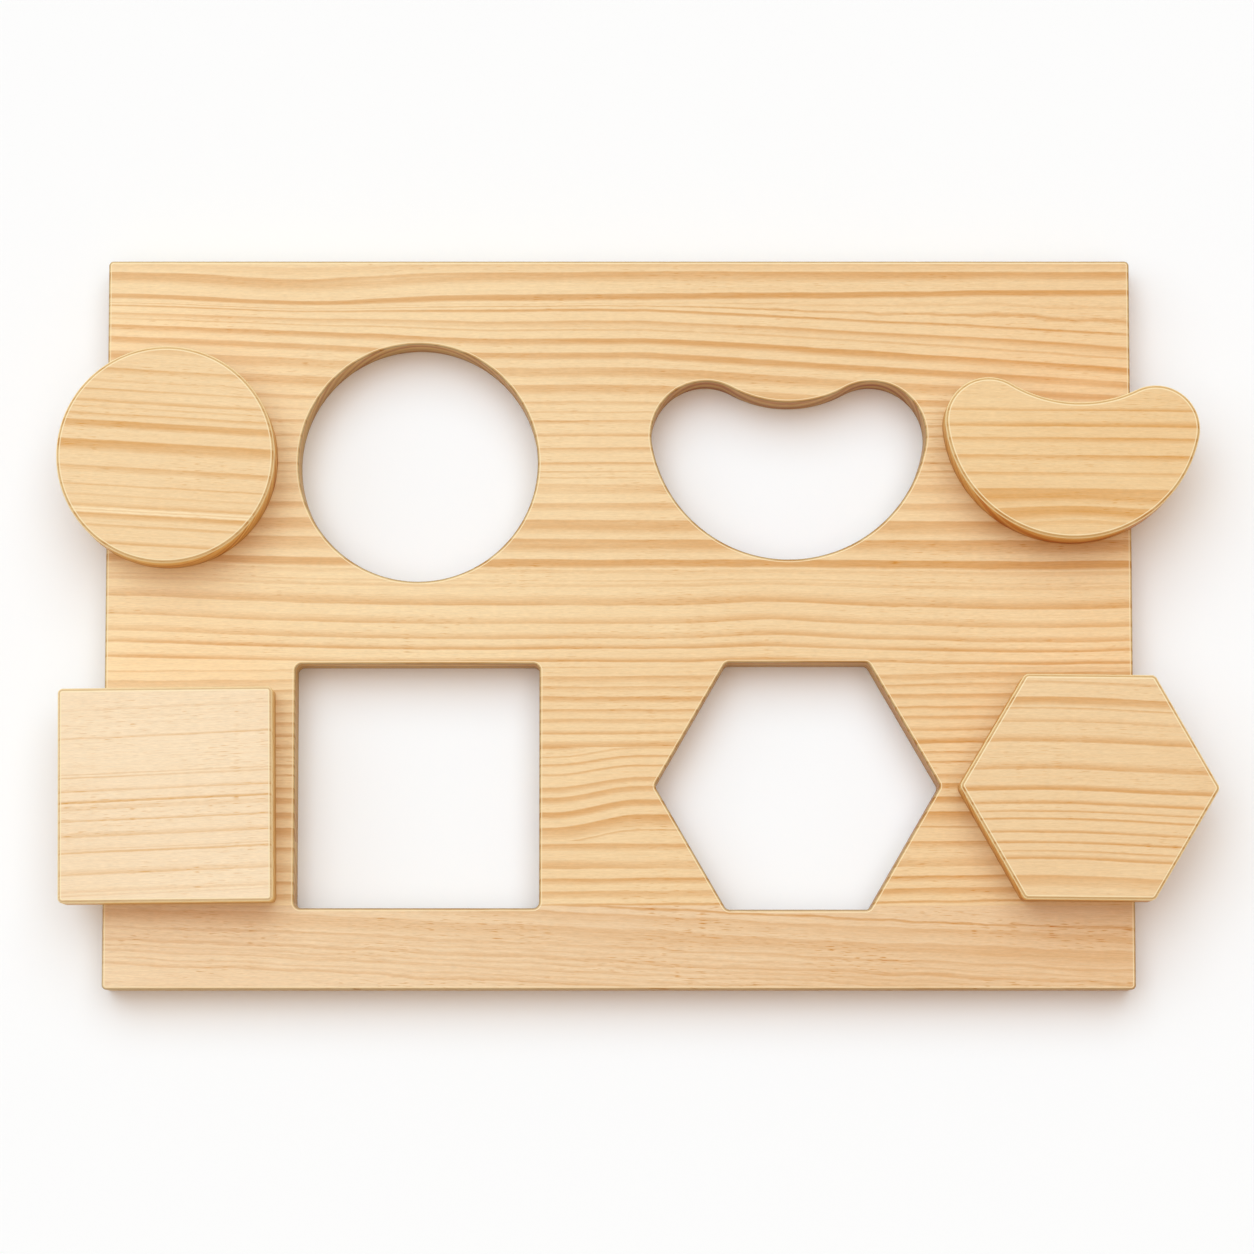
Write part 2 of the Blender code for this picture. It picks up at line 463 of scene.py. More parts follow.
class Bench:
    """Makes the nodes of one material or of the world."""

    def __init__(self, owner: bpy.types.Material | bpy.types.World) -> None:
        """Open the nodes of a new material or world at the shader that Blender gives it.

        Args:
            owner: the material or world.
        """
        owner.use_nodes = True
        self.owner = owner
        self.tree = owner.node_tree
        is_world = isinstance(owner, bpy.types.World)
        self.shader = self.tree.nodes["Background" if is_world else "Principled BSDF"]

    def finish(self, inputs: dict[str, object]) -> None:
        """Set the shader's own sockets to values, colours or wires, by their names."""
        for key, value in inputs.items():
            self.join(self.shader.inputs[key], value)

    def node(
        self,
        kind: str,
        settings: dict[str, object],
        inputs: dict[int | str, object],
        output: int | str = 0,
    ) -> Wire:
        """Make a node of any type, set it up and join its inputs.

        Args:
            kind: Blender's name of the node type.
            settings: its properties, and a ramp's stops as pairs of place and value.
            inputs: values, colours or wires by the name or number of their socket.
            output: the name or number of the socket that is wanted.

        Returns:
            The wanted output.
        """
        node = self.tree.nodes.new(kind)
        for key, value in settings.items():
            if key == "stops":
                self.set_stops(node.color_ramp, value)
            else:
                setattr(node, key, value)
        for key, value in inputs.items():
            self.join(node.inputs[key], value)
        return Wire(self, node.outputs[output])

    @staticmethod
    def set_stops(ramp: bpy.types.ColorRamp, stops: Sequence[Span]) -> None:
        """Give a ramp its grey stops.

        Args:
            ramp: the node's ramp.
            stops: pairs of place and value.
        """
        while len(ramp.elements) > 1:
            ramp.elements.remove(ramp.elements[-1])
        for index, (place, value) in enumerate(stops):
            stop = ramp.elements.new(place) if index else ramp.elements[0]
            stop.position = place
            stop.color = (value, value, value, 1)

    def join(self, socket: bpy.types.NodeSocket, value: object) -> None:
        """Link a wire to a socket, or set the socket's own value.

        Args:
            socket: the input.
            value: a wire, a number, a vector or a colour.
        """
        if isinstance(value, Wire):
            self.tree.links.new(value.socket, socket)
        elif socket.type == "RGBA":
            socket.default_value = (*value, 1)
        else:
            socket.default_value = value

    def split(self, vector: Wire) -> tuple[Wire, Wire, Wire]:
        """The three parts of a vector."""
        outputs = self.node("ShaderNodeSeparateXYZ", {}, {0: vector}).socket.node.outputs
        return tuple(Wire(self, output) for output in outputs)

    def merge(self, x: Value, y: Value, z: Value) -> Wire:
        """A vector of three parts."""
        return self.node("ShaderNodeCombineXYZ", {}, {0: x, 1: y, 2: z})

    def noise(self, vector: Wire, detail: float) -> Wire:
        """Smooth noise about 0, with one swell for each unit of the vector."""
        values = {"Vector": vector, "Scale": 1.0, "Detail": detail}
        return self.node("ShaderNodeTexNoise", {}, values) - NOISE_MIDDLE

    def ramp(self, place: Wire, stops: Sequence[Span]) -> Wire:
        """A value that runs through given ones, all of them between -1 and 1.

        Args:
            place: where it is read, from 0 to 1.
            stops: pairs of place and value.

        Returns:
            The value.
        """
        low, high = RAMP_SPAN
        greys = [(at, (value - low) / (high - low)) for at, value in stops]
        grey = self.node("ShaderNodeValToRGB", {"stops": greys}, {0: place})
        return grey * (high - low) + low

    def mix(self, factor: Value, first: object, second: object) -> Wire:
        """A blend of two colours, from 0 for the first to 1 for the second."""
        inputs = {0: factor, BLEND_FIRST: first, BLEND_SECOND: second}
        return self.node("ShaderNodeMix", BLEND, inputs, BLEND_RESULT)

    def tint(self, colour: Wire, by: object) -> Wire:
        """Multiply a colour by another colour."""
        settings = {"operation": "MULTIPLY"}
        return self.node("ShaderNodeVectorMath", settings, {0: colour, 1: by})

    def strengthen(self, colour: Wire, by: Value) -> Wire:
        """Multiply a colour by a number."""
        settings = {"operation": "SCALE"}
        return self.node("ShaderNodeVectorMath", settings, {0: colour, "Scale": by})


class Course(Enum):
    """How a step climbs from one level to the next."""

    GENTLE = "SMOOTHSTEP"
    STRAIGHT = "LINEAR"


@dataclass(frozen=True)
class Band:
    """One growth band, sharp at one edge and fading away from it.

    Args:
        at: where its sharp edge lies across the grain, in millimetres.
        reach: how far it fades, to the far side if above 0 and to the near side if below.
        depth: how dark it is, from 0 to 1, or below 0 for a pale line.
        body: how dark its middle is, as a share of its depth.
    """

    at: float
    reach: float
    depth: float
    body: float = 0.5
    sharp: ClassVar[float] = 0.25
    sharp_share: ClassVar[float] = 0.2
    middle: ClassVar[float] = 0.55

    def stops(self) -> list[tuple[float, float]]:
        """Where the tone turns, in the order of the ramp.

        Returns:
            Pairs of a place across the grain and the depth there.
        """
        length = abs(self.reach)
        full = min(self.sharp, length * self.sharp_share)
        course = [(-self.sharp, 0.0), (full, 1.0), (length * self.middle, self.body)]
        course.append((length, 0.0))
        side = math.copysign(1.0, self.reach)
        return sorted((self.at + side * away, share * self.depth) for away, share in course)


def rings(*rows: tuple[float, ...]) -> tuple[Band, ...]:
    """Growth bands from rows of their place, reach, depth and, where it stands, body."""
    return tuple(Band(*row) for row in rows)


def hump(place: Wire, middle: float, reach: float, fall: int) -> Wire:
    """A value that falls from 1 at the middle to 1/e at its reach, and on towards 0."""
    distance = abs(place - middle) / reach
    return math.exp(-1) ** distance**fall


@dataclass(frozen=True)
class Swell:
    """A place where the grain bulges across its run, as beside a hidden knot.

    Args:
        along: its centre along the grain, in millimetres.
        across: its centre across the grain.
        length: its reach along the grain.
        width: its reach across the grain.
        height: how far it pushes the grain across.
    """

    along: float
    across: float
    length: float
    width: float
    height: float

    def push(self, along: Wire, across: Wire) -> Wire:
        """How far the grain is pushed at a point along and across it."""
        lengthwise = hump(along, self.along, self.length, EVENLY)
        return lengthwise * hump(across, self.across, self.width, EVENLY) * self.height


@dataclass(frozen=True)
class Bend:
    """A stretch along which the grain climbs or falls to a new level.

    Args:
        start: where it leaves the old level, in millimetres along the grain.
        end: where it reaches the new one.
        rise: the new level less the old one.
        across: the middle of the strip that it touches.
        width: the reach of that strip.
        course: how it leaves and reaches the levels.
    """

    start: float
    end: float
    rise: float
    across: float = 0.0
    width: float = 1000.0
    course: Course = Course.GENTLE

    def push(self, along: Wire, across: Wire) -> Wire:
        """How far the grain is pushed at a point along and across it."""
        step = along.ramp_between(self.start, self.end, self.course)
        return step * hump(across, self.across, self.width, LATE) * self.rise


@dataclass(frozen=True)
class Wedge:
    """A wedge of new growth bands, which parts the bands on both sides of it.

    Args:
        start: where it opens, in millimetres along the grain.
        end: where it is widest.
        low: its lower edge across the grain where it opens.
        high: its upper edge there.
        drop: how far it presses the lower bands down where it is widest.
        lift: how far it lifts the upper ones.
        under: the stretch across the grain over which the lower ones come level again.
        over: the stretch over which the upper ones do.
    """

    start: float
    end: float
    low: float
    high: float
    drop: float
    lift: float
    under: Span
    over: Span

    def push(self, along: Wire, across: Wire) -> Wire:
        """How far the grain is pushed.

        Args:
            along: where a point lies along the grain.
            across: where it lies across the grain.

        Returns:
            The push there.
        """
        step = along.ramp_between(self.start, self.end, Course.STRAIGHT)
        low, high = self.low - step * self.drop, step * self.lift + self.high
        upper = across.ramp_between(low, high, Course.STRAIGHT)
        lifted = upper * (1.0 - across.between(*self.over)) * self.lift
        pressed = (1.0 - upper) * across.between(*self.under) * self.drop
        return step * (lifted - pressed)


@dataclass(frozen=True)
class Noise:
    """A layer of noise that is drawn out along the grain.

    Args:
        along: its swells for each millimetre along the grain.
        across: its swells for each millimetre across it.
        detail: how many finer layers lie on it.
        strength: how much it counts.
    """

    along: float
    across: float
    detail: float
    strength: float = 1.0


@dataclass(frozen=True)
class Growth:
    """What the figures of all the pieces have in common.

    Args:
        strays: how the grain strays from its course, from broad to fine.
        tremble: how the edges of the bands tremble along the fibres.
        fading: how the bands come and go.
        gain: how strongly the bands are drawn.
        limit: how dark they get at most.
        softness: how gently they reach that.
        streaks: the broad streaks.
        hairs: the fine streaks.
        mottle: the broad cloudy tones.
        crowd: where the flecks gather.
        crowd_span: the values of that noise between which they set in.
        flecks: the flecks.
        fleck_span: the values of that noise between which a fleck sets in.
        clouds: the play of the tone between the fibres.
        gloss: the play of the roughness along them.
        fibres: their relief.
    """

    strays: tuple[Noise, ...] = (
        Noise(0.012, 0.03, 1.0, 1.6),
        Noise(0.045, 0.16, 1.0, 1.1),
        Noise(0.16, 0.6, 0.0, 0.3),
    )
    tremble: Noise = Noise(0.35, 1.6, 1.0, 0.3)
    fading: Noise = Noise(0.014, 0.25, 1.0, 1.3)
    gain: float = 1.25
    limit: float = 0.7
    softness: float = 0.25
    streaks: Noise = Noise(0.008, 0.7, 2.0, 0.5)
    hairs: Noise = Noise(0.08, 2.2, 2.0, 0.85)
    mottle: Noise = Noise(0.01, 0.03, 1.0)
    crowd: Noise = Noise(0.02, 0.08, 0.0)
    crowd_span: Span = (-0.12, 0.2)
    flecks: Noise = Noise(0.2, 3.0, 0.0)
    fleck_span: Span = (0.15, 0.28)
    clouds: tuple[Noise, ...] = (Noise(0.15, 0.6, 1.0, 0.1), Noise(0.4, 2.6, 2.0, 0.24))
    gloss: Noise = Noise(0.05, 1.5, 1.0, 0.12)
    fibres: Noise = Noise(0.12, 4.0, 1.0)


@dataclass(frozen=True)
class Pine:
    """The figure and tone of one piece of pine. Lengths are in millimetres.

    Args:
        pale: the colour of the wood that grew in spring.
        dark: the colour of the growth bands.
        bands: the growth bands that stand out.
        pushes: where the grain bulges, bends or parts.
        slant: how far the grain climbs for each unit along it.
        tilt: how far the bands lean through the thickness.
        seed: where the noise is read, so that no two pieces are alike.
        wander: how far the grain strays from its course.
        tremble: how ragged the edges of the bands are.
        streak: how strong the fine streaks are.
        fleck: how strong the short dark flecks are.
        mottle: how strong the broad cloudy tones are.
        contrast: how strong the bands are.
        tone: how dark the plain wood is, 0 for the pale colour and 1 for the dark one.
        drift: how much darker it gets for each millimetre along and across the grain.
        growth: what it has in common with the other pieces.
    """

    pale: Colour = (0.912, 0.67, 0.38)
    dark: Colour = (0.66, 0.315, 0.085)
    bands: tuple[Band, ...] = ()
    pushes: tuple[Swell | Bend | Wedge, ...] = ()
    slant: float = 0.0
    tilt: float = 0.6
    seed: float = 0.0
    wander: float = 0.8
    tremble: float = 1.0
    streak: float = 0.45
    fleck: float = 0.42
    mottle: float = 0.2
    contrast: float = 1.0
    tone: float = 0.13
    drift: tuple[float, float] = (0.0009, 0.0)
    growth: Growth = Growth()

    def dress(self, piece: Piece, centre: Vector, turn: float, edge: Edge) -> None:
        """Give a piece this pine.

        Args:
            piece: the object to dress.
            centre: the middle of the figure on the top face, in metres.
            turn: the figure's turn about the upright.
            edge: the light and shade painted over the edges.
        """
        bench = Bench(bpy.data.materials.new(f"pine {piece.name}"))
        grain = Grain(self, bench, centre, turn)
        bench.finish(
            {
                "Base Color": grain.colour(edge),
                "Roughness": grain.roughness(),
                "Normal": grain.normal(),
                "Specular IOR Level": SATIN_AND_PAINTED_HIGHLIGHTS.specular,
            }
        )
        piece.data.materials.clear()
        piece.data.materials.append(bench.owner)


@dataclass(frozen=True)
class SatinAndPaintedHighlights:
    """The clear finish that all the pieces share, and the colours of the highlights painted along
    their edges.

    Args:
        specular: how strongly it mirrors.
        roughness: how blurred its mirroring is.
        relief: how strongly the fibres stand out under it.
        relief_height: how far they stand out.
        painted_glint: the colour of the highlight painted along an edge where it would catch the
            light.
        lip_highlight: the colour of the highlight painted on the steep part of a block's edge.
    """

    specular: float = 0.15
    roughness: float = 0.42
    relief: float = 0.35
    relief_height: float = 0.02 * MM
    painted_glint: Colour = (1.0, 0.85, 0.54)
    lip_highlight: Colour = (1.0, 0.83, 0.48)


SATIN_AND_PAINTED_HIGHLIGHTS = SatinAndPaintedHighlights()


@dataclass(frozen=True)
class Edge:
    """The light and shade painted over an eased edge and down the wall under it.

    A slope is given by its sine, 0 for the top and 1 for the wall.

    Args:
        tones: pairs of a slope and the tone there, as a share of the top's, which paint shade
            over the edge.
        painted_glint: the slopes between which a highlight is painted along the edge.
        painted_glint_share: how strongly the painted highlight shows.
        lip_highlight_share: how strongly a highlight is painted on its steep part.
        ease: the tint painted over the eased edge together with its painted shade.
        wall_top_shading: the tint of the wall's upper end, painted light on the blocks and
            painted shade on the panel.
        wall_foot_shading: the tint of its lower end, painted shade.
        fall: how soon the one passes into the other, 1 for evenly.
        painted_foot_shade: the tone of the lowest few millimetres, as a share of the rest,
            painted shade as of a contact shadow.
        top: the height of the wall's upper end over the floor, in metres.
        foot: the height of its lower end.
        wall_span: the upright parts of the normal between which a wall becomes an edge.
        wall_depth: how much stronger the figure shows on the wall.
        ease_span: the slopes between which the tint of the edge sets in.
        lip_highlight_span: the slopes between which the painted highlight on the steep part
            starts.
        foot_share: how high the painted shade at the foot reaches, as a share of the wall.
        painted_glint_start: where the painted highlight sets in, as a share of its first slope.
        painted_glint_end: where it has gone, as a share of its last one.
    """

    tones: tuple[tuple[float, float], ...]
    painted_glint: Span
    painted_glint_share: float
    lip_highlight_share: float
    ease: Colour
    wall_top_shading: Colour
    wall_foot_shading: Colour
    fall: float
    painted_foot_shade: float
    top: float
    foot: float
    wall_span: Span = (0.05, 0.3)
    wall_depth: float = 0.7
    ease_span: Span = (0.25, 0.4)
    lip_highlight_span: Span = (0.7, 0.82)
    foot_share: float = 0.22
    painted_glint_start: float = 0.5
    painted_glint_end: float = 1.15


# The panel's edges: a painted highlight along each rim, painted shade on the steep part of the
# round, and walls painted darker towards the floor.
PANEL_EDGE = Edge(
    tones=((0.3, 1.0), (0.5, 0.84), (0.68, 0.62), (0.88, 0.55), (0.96, 0.65), (1.0, 1.0)),
    painted_glint=(0.06, 0.26),
    painted_glint_share=0.75,
    lip_highlight_share=0.0,
    ease=(1.02, 1.0, 0.88),
    wall_top_shading=(0.83, 0.71, 0.34),
    wall_foot_shading=(0.52, 0.42, 0.2),
    fall=1.0,
    painted_foot_shade=0.75,
    top=20 * MM,
    foot=0.0,
)
# The blocks' edges: a painted highlight, a painted dark band across the round, a highlight
# painted on the steep part, upper walls painted lighter and feet painted dark like a contact
# shadow.
BLOCK_EDGE = Edge(
    tones=((0.3, 1.0), (0.4, 0.72), (0.55, 0.75), (0.66, 0.77), (0.78, 1.0), (1.0, 1.0)),
    painted_glint=(0.06, 0.28),
    painted_glint_share=0.68,
    lip_highlight_share=1.0,
    ease=(1.05, 0.96, 0.78),
    wall_top_shading=(1.14, 1.13, 0.7),
    wall_foot_shading=(0.73, 0.49, 0.17),
    fall=1.4,
    painted_foot_shade=0.45,
    top=40.3 * MM,
    foot=20.3 * MM,
)


class Grain:
    """The shader of one piece of pine, built step by step."""

    def __init__(self, pine: Pine, bench: Bench, centre: Vector, turn: float) -> None:
        """Find where a point lies along, across and below the figure.

        Args:
            pine: the figure.
            bench: where the nodes are made.
            centre: the middle of the figure on the top face, in metres.
            turn: the figure's turn about the upright.
        """
        self.pine = pine
        self.growth = pine.growth
        self.bench = bench
        self.level = centre.z
        here = bench.node("ShaderNodeTexCoord", {}, {}, "Object")
        values = {"Location": centre, "Rotation": (0, 0, turn), "Scale": (MM, MM, MM)}
        settings = {"vector_type": "TEXTURE"}
        mapped = bench.node("ShaderNodeMapping", settings, {"Vector": here, **values})
        self.along, self.across, self.height = bench.split(mapped)
        self.run = self.across - self.along * pine.slant - self.height * pine.tilt
        self.flow = self.find_flow()
        facing = bench.node("ShaderNodeTexCoord", {}, {}, "Normal")
        self.upright = abs(bench.split(facing)[2])
        self.slope = (1.0 - self.upright * self.upright) ** (1 / 2)

    def read(self, noise: Noise, across: Wire, below: Wire) -> Wire:
        """Read a layer of noise.

        Args:
            noise: the layer.
            across: where a point lies across the grain, in millimetres.
            below: where the noise is read through the thickness.

        Returns:
            The noise, about 0.
        """
        along = self.along * noise.along + self.pine.seed
        place = self.bench.merge(along, across * noise.across, below)
        return self.bench.noise(place, noise.detail) * noise.strength

    def straight(self, noise: Noise) -> Wire:
        """A layer of noise that runs straight through the piece."""
        return self.read(noise, self.across, self.height * noise.across)

    def slanted(self, noise: Noise) -> Wire:
        """A layer of noise that runs with the slant of the grain."""
        return self.read(noise, self.run, self.height * noise.along)

    def bent(self, noise: Noise) -> Wire:
        """A layer of noise that follows the bends of the grain."""
        return self.read(noise, self.flow, self.height * noise.along)

    def find_flow(self) -> Wire:
        """Take the bends out of the grain.

        Returns:
            How far across the straightened grain a point lies.
        """
        flow = self.run
        for push in self.pine.pushes:
            flow = flow - push.push(self.along, self.across)
        for stray in self.growth.strays:
            flow = flow - self.straight(stray) * self.pine.wander
        return flow - self.straight(self.growth.tremble) * self.pine.tremble

    def banded(self) -> Value:
        """Draw the growth bands, a few to each ramp.

        Returns:
            How dark they are, from 0 to 1.
        """
        bands = sorted(self.pine.bands, key=lambda band: band.at)
        total: Value = 0.0
        for first in range(0, len(bands), RAMP_BANDS):
            total = self.draw(bands[first : first + RAMP_BANDS]) + total
        return total

    def draw(self, bands: Sequence[Band]) -> Wire:
        """Draw a few neighbouring bands.

        Args:
            bands: the bands, in their order across the grain.

        Returns:
            Their darkness, 0 away from them.
        """
        turns = [turn for band in bands for turn in band.stops()]
        low, high = turns[0][0] - Band.sharp, turns[-1][0]
        stops = [(0.0, 0.0)]
        for at, depth in turns:
            stops.append((max((at - low) / (high - low), stops[-1][0]), depth))
        place = self.flow.ramp_between(low, high, Course.STRAIGHT)
        return self.bench.ramp(place, stops)

    def darkness(self) -> Wire:
        """Draw the whole figure.

        Returns:
            How dark it is, 0 for spring wood and 1 for a full band.
        """
        pine, growth = self.pine, self.growth
        fading = self.bent(growth.fading) + 1.0
        total = self.banded() * fading * (growth.gain * pine.contrast)
        total = total.softly_at_most(growth.limit, growth.softness) + pine.tone
        total = total + self.along * pine.drift[0] + self.across * pine.drift[1]
        total = total + self.bent(growth.streaks) * pine.streak
        total = total + self.slanted(growth.hairs) * pine.streak
        total = total + self.straight(growth.mottle) * pine.mottle
        crowd = self.straight(growth.crowd).between(*growth.crowd_span)
        flecks = self.slanted(growth.flecks).between(*growth.fleck_span)
        return total + flecks * crowd * pine.fleck

    def wood(self, strength: Wire) -> Wire:
        """The colour of the plain sawn wood.

        Args:
            strength: how strongly the figure shows.

        Returns:
            The colour.
        """
        darkness = self.darkness() * strength
        colour = self.bench.mix(darkness, self.pine.pale, self.pine.dark)
        tone_play: Value = 1.0
        for cloud in self.growth.clouds:
            tone_play = self.straight(cloud) + tone_play
        return self.bench.strengthen(colour, tone_play)

    def colour(self, edge: Edge) -> Wire:
        """The wood's colour, with the light and shade painted over its eased edges and walls.

        Args:
            edge: the light and shade painted over the edges.

        Returns:
            The colour.
        """
        bench, slope = self.bench, self.slope
        wall = 1.0 - self.upright.between(*edge.wall_span)
        wood = self.wood(wall * edge.wall_depth + 1.0)
        # Painted shade: the eased edge is darkened by its slope, and a tint is painted over it.
        wood = bench.strengthen(wood, bench.ramp(slope, edge.tones))
        eased = slope.between(*edge.ease_span) * (1.0 - wall)
        wood = bench.mix(eased, wood, bench.tint(wood, edge.ease))
        # A highlight painted on the steep part of a block's edge; the walls get their painted
        # light and shade from side().
        lip_highlight = slope.between(*edge.lip_highlight_span) * (1.0 - wall) * edge.lip_highlight_share
        wood = bench.mix(lip_highlight, bench.mix(wall, wood, self.side(wood, edge)), SATIN_AND_PAINTED_HIGHLIGHTS.lip_highlight)
        # A highlight painted along the edge where it would catch the light.
        start, end = edge.painted_glint
        painted_glint = slope.between(start * edge.painted_glint_start, start)
        painted_glint = painted_glint * (1.0 - slope.between(end, end * edge.painted_glint_end))
        return bench.mix(painted_glint * edge.painted_glint_share, wood, SATIN_AND_PAINTED_HIGHLIGHTS.painted_glint)

    def side(self, wood: Wire, edge: Edge) -> Wire:
        """The colour of a wall, with painted light and shade that deepens towards its foot.

        Args:
            wood: the colour of the wood.
            edge: the light and shade painted over the edges.

        Returns:
            The colour.
        """
        level = self.level / MM
        low, high = edge.foot / MM - level, edge.top / MM - level
        rise = self.height.ramp_between(low, high, Course.STRAIGHT)
        # Painted light and shade down the wall: the upper end's tint passes into a darker tint at
        # the foot.
        tint = self.bench.mix(rise**edge.fall, edge.wall_foot_shading, edge.wall_top_shading)
        # Painted shade over the lowest part of the wall, as of a contact shadow.
        lowest = rise.between(0.0, edge.foot_share) * (1.0 - edge.painted_foot_shade) + edge.painted_foot_shade
        return self.bench.strengthen(self.bench.tint(wood, tint), lowest)

    def roughness(self) -> Wire:
        """The satin's roughness, which follows the fibres a little."""
        return self.straight(self.growth.gloss) + SATIN_AND_PAINTED_HIGHLIGHTS.roughness

    def normal(self) -> Wire:
        """The normal, with the fibres raised slightly under the finish."""
        relief = {"Strength": SATIN_AND_PAINTED_HIGHLIGHTS.relief, "Distance": SATIN_AND_PAINTED_HIGHLIGHTS.relief_height}
        return self.bench.node("ShaderNodeBump", {}, relief | {"Height": self.fibres()})

    def fibres(self) -> Wire:
        """The height of the fibres."""
        return self.straight(self.growth.fibres)


class Lumber:
    """The pieces of pine that were picked for the panel and the blocks."""

    upper = Pine(
        contrast=1.2,
        tone=0.07,
        drift=(0.0007, 0.0002),
        wander=0.6,
        tremble=0.5,
        seed=3.0,
        bands=rings(
            (141.4, -2.6, 0.16), (138.2, -4.6, 0.42, 0.65), (129.5, -2.8, 0.62, 0.95),
            (125.8, -0.2, 0.15), (124.85, -0.3, 0.4, 0.6), (123.6, -1.3, 0.55, 0.6),
            (118.9, -3.2, 0.4, 0.35), (115.6, -0.9, 0.25, 0.8), (111.9, -3.2, 0.62),
            (106.3, -3.2, 0.4, 0.95), (100.4, -4.4, 0.28, 1.2), (93.6, -4.4, 0.31, 1.0),
            (87.0, -1.7, 0.28, 0.7), (83.0, -0.9, 0.22), (79.5, -1.6, 0.4),
            (73.2, 1.6, 0.35, 0.6), (68.8, -2.2, 0.32, 0.6), (63.0, -1.5, 0.4),
            (59.6, -0.9, 0.22, 0.8), (57.2, -0.9, 0.16, 0.8), (54.3, -4.2, 0.22, 1.0),
            (46.8, -3.5, 0.32, 0.75), (40.0, -6.2, 0.38, 0.8), (32.4, -6.0, 0.4, 0.7),
            (24.4, -3.5, 0.62, 1.0), (20.5, -2.0, 0.14, 0.9), (16.5, -0.9, 0.15),
            (13.9, 1.7, 0.18, 0.8), (6.8, 4.4, 0.4), (-0.4, 3.2, 0.34), (-6.3, 2.8, 0.36),
            (-10.4, 2.4, 0.5, 0.35), (-15.5, 2.2, 0.48, 0.4),
        ),
        pushes=(
            Bend(-55, -200, 7.0, 104, 20, course=Course.STRAIGHT),
            Swell(-124, 130, 42, 10, -4.0),
            Swell(-130, 35, 100, 18, 1.4),
            Wedge(10, 200, 123.9, 126.5, drop=9.5, lift=1.8, under=(70, 90), over=(130, 137)),
            Bend(10, 200, -2.2, 97, 12, course=Course.STRAIGHT),
            Swell(-205, 6, 65, 24, 4.0),
            Swell(60, 2, 24, 18, 1.6),
            Swell(165, 2, 50, 20, -1.7),
        ),
    )
    second = Pine(
        seed=11.0,
        slant=0.009,
        bands=rings(
            (-17.0, -0.9, 0.32), (-20.9, -3.2, 0.4), (-24.9, -2.4, 0.42, 0.4),
            (-28.9, -2.6, 0.42, 0.75), (-33.7, -2.2, 0.46, 0.35), (-37.5, -2.0, 0.42, 0.7),
            (-43.4, 2.0, 0.48), (-48.4, 2.6, 0.55, 0.6),
        ),
    )
    third = Pine(
        seed=17.0,
        contrast=1.35,
        wander=0.5,
        bands=rings(
            (-48.5, -1.9, 0.46, 0.4), (-52.2, -0.9, 0.22, 0.8), (-55.3, -1.3, 0.38, 0.6),
            (-59.1, -1.1, 0.38, 0.6), (-64.3, -2.8, 0.36), (-68.2, -3.0, 0.4, 0.8),
            (-73.9, -3.2, 0.44, 0.8), (-79.9, -5.4, 0.52), (-85.6, -1.0, 0.3),
        ),
        pushes=(
            Bend(-26, 8, 3.7),
            Bend(-26, 8, 1.4, -80, 18),
            Bend(30, 115, 1.5),
        ),
    )
    fourth = Pine(
        seed=23.0,
        slant=0.01,
        bands=rings(
            (-86.2, -3.0, 0.54), (-95.9, 3.8, 0.3, 0.8), (-99.5, -2.8, 0.62, 0.4),
            (-104.4, -3.2, 0.44, 0.75), (-109.2, -1.2, 0.5, 0.8),
        ),
    )
    lower = Pine(
        pale=(0.87, 0.635, 0.39),
        dark=(0.66, 0.34, 0.12),
        seed=31.0,
        tone=0.2,
        drift=(0.0011, 0.0),
        slant=-0.045,
        wander=2.0,
        streak=0.7,
        fleck=0.9,
        mottle=0.3,
        bands=rings(
            (-110.1, -1.1, 0.55, 0.8), (-113.2, -4.6, 0.3), (-119.2, -6.4, 0.26, 0.75),
            (-125.9, -1.5, 0.24, 0.7), (-129.6, 1.2, 0.14, 0.6), (-132.2, 1.8, 0.3, 0.7),
            (-134.3, 1.3, 0.2, 0.6), (-136.5, 1.5, 0.24, 0.6), (-139.0, 1.1, 0.2, 0.6),
            (-141.3, 1.6, 0.34, 0.6),
        ),
    )
    disc = Pine(
        pale=(0.92, 0.68, 0.39),
        dark=(0.68, 0.33, 0.08),
        seed=41.0,
        drift=(0.0, 0.0),
        slant=-0.058,
        wander=0.4,
        bands=rings(
            (41.0, -2.8, 0.2, 0.9), (32.5, -2.3, 0.38), (27.8, -0.9, 0.16, 0.8),
            (24.3, -1.0, 0.34), (19.0, 1.8, 0.36, 0.6), (17.4, -0.9, 0.2, 0.8),
            (14.8, -1.7, 0.4), (11.9, -3.4, 0.54, 0.8), (4.2, -5.0, 0.5, 0.85),
            (-5.9, -2.7, 0.42, 0.6), (-13.0, -0.9, 0.28, 0.8), (-17.0, -0.9, 0.15, 0.8),
            (-21.8, 2.0, 0.34), (-22.7, 0.45, -0.36, 0.9), (-23.8, 0.45, -0.32, 0.9),
            (-24.3, -2.4, 0.5, 0.75), (-28.5, -1.3, 0.3, 0.8), (-36.1, 1.7, 0.45),
        ),
    )
    square = Pine(
        pale=(0.955, 0.76, 0.52),
        dark=(0.74, 0.42, 0.16),
        seed=53.0,
        drift=(0.0, 0.0),
        slant=0.035,
        wander=0.4,
        fleck=0.6,
        bands=rings(
            (33.5, 1.3, 0.18), (22.8, 1.0, 0.42), (8.9, 0.7, 0.28), (7.6, 0.8, 0.34),
            (2.3, 1.3, 0.45), (-2.0, 1.2, 0.7), (-4.8, 2.2, 0.2, 0.8), (-9.2, 1.2, 0.42),
            (-15.3, 2.3, 0.38, 0.55), (-20.1, 0.6, 0.25), (-21.5, 1.1, 0.46, 0.8),
            (-29.7, 2.6, 0.36, 0.4), (-36.4, 1.6, 0.28), (-37.7, 0.8, 0.24),
        ),
    )
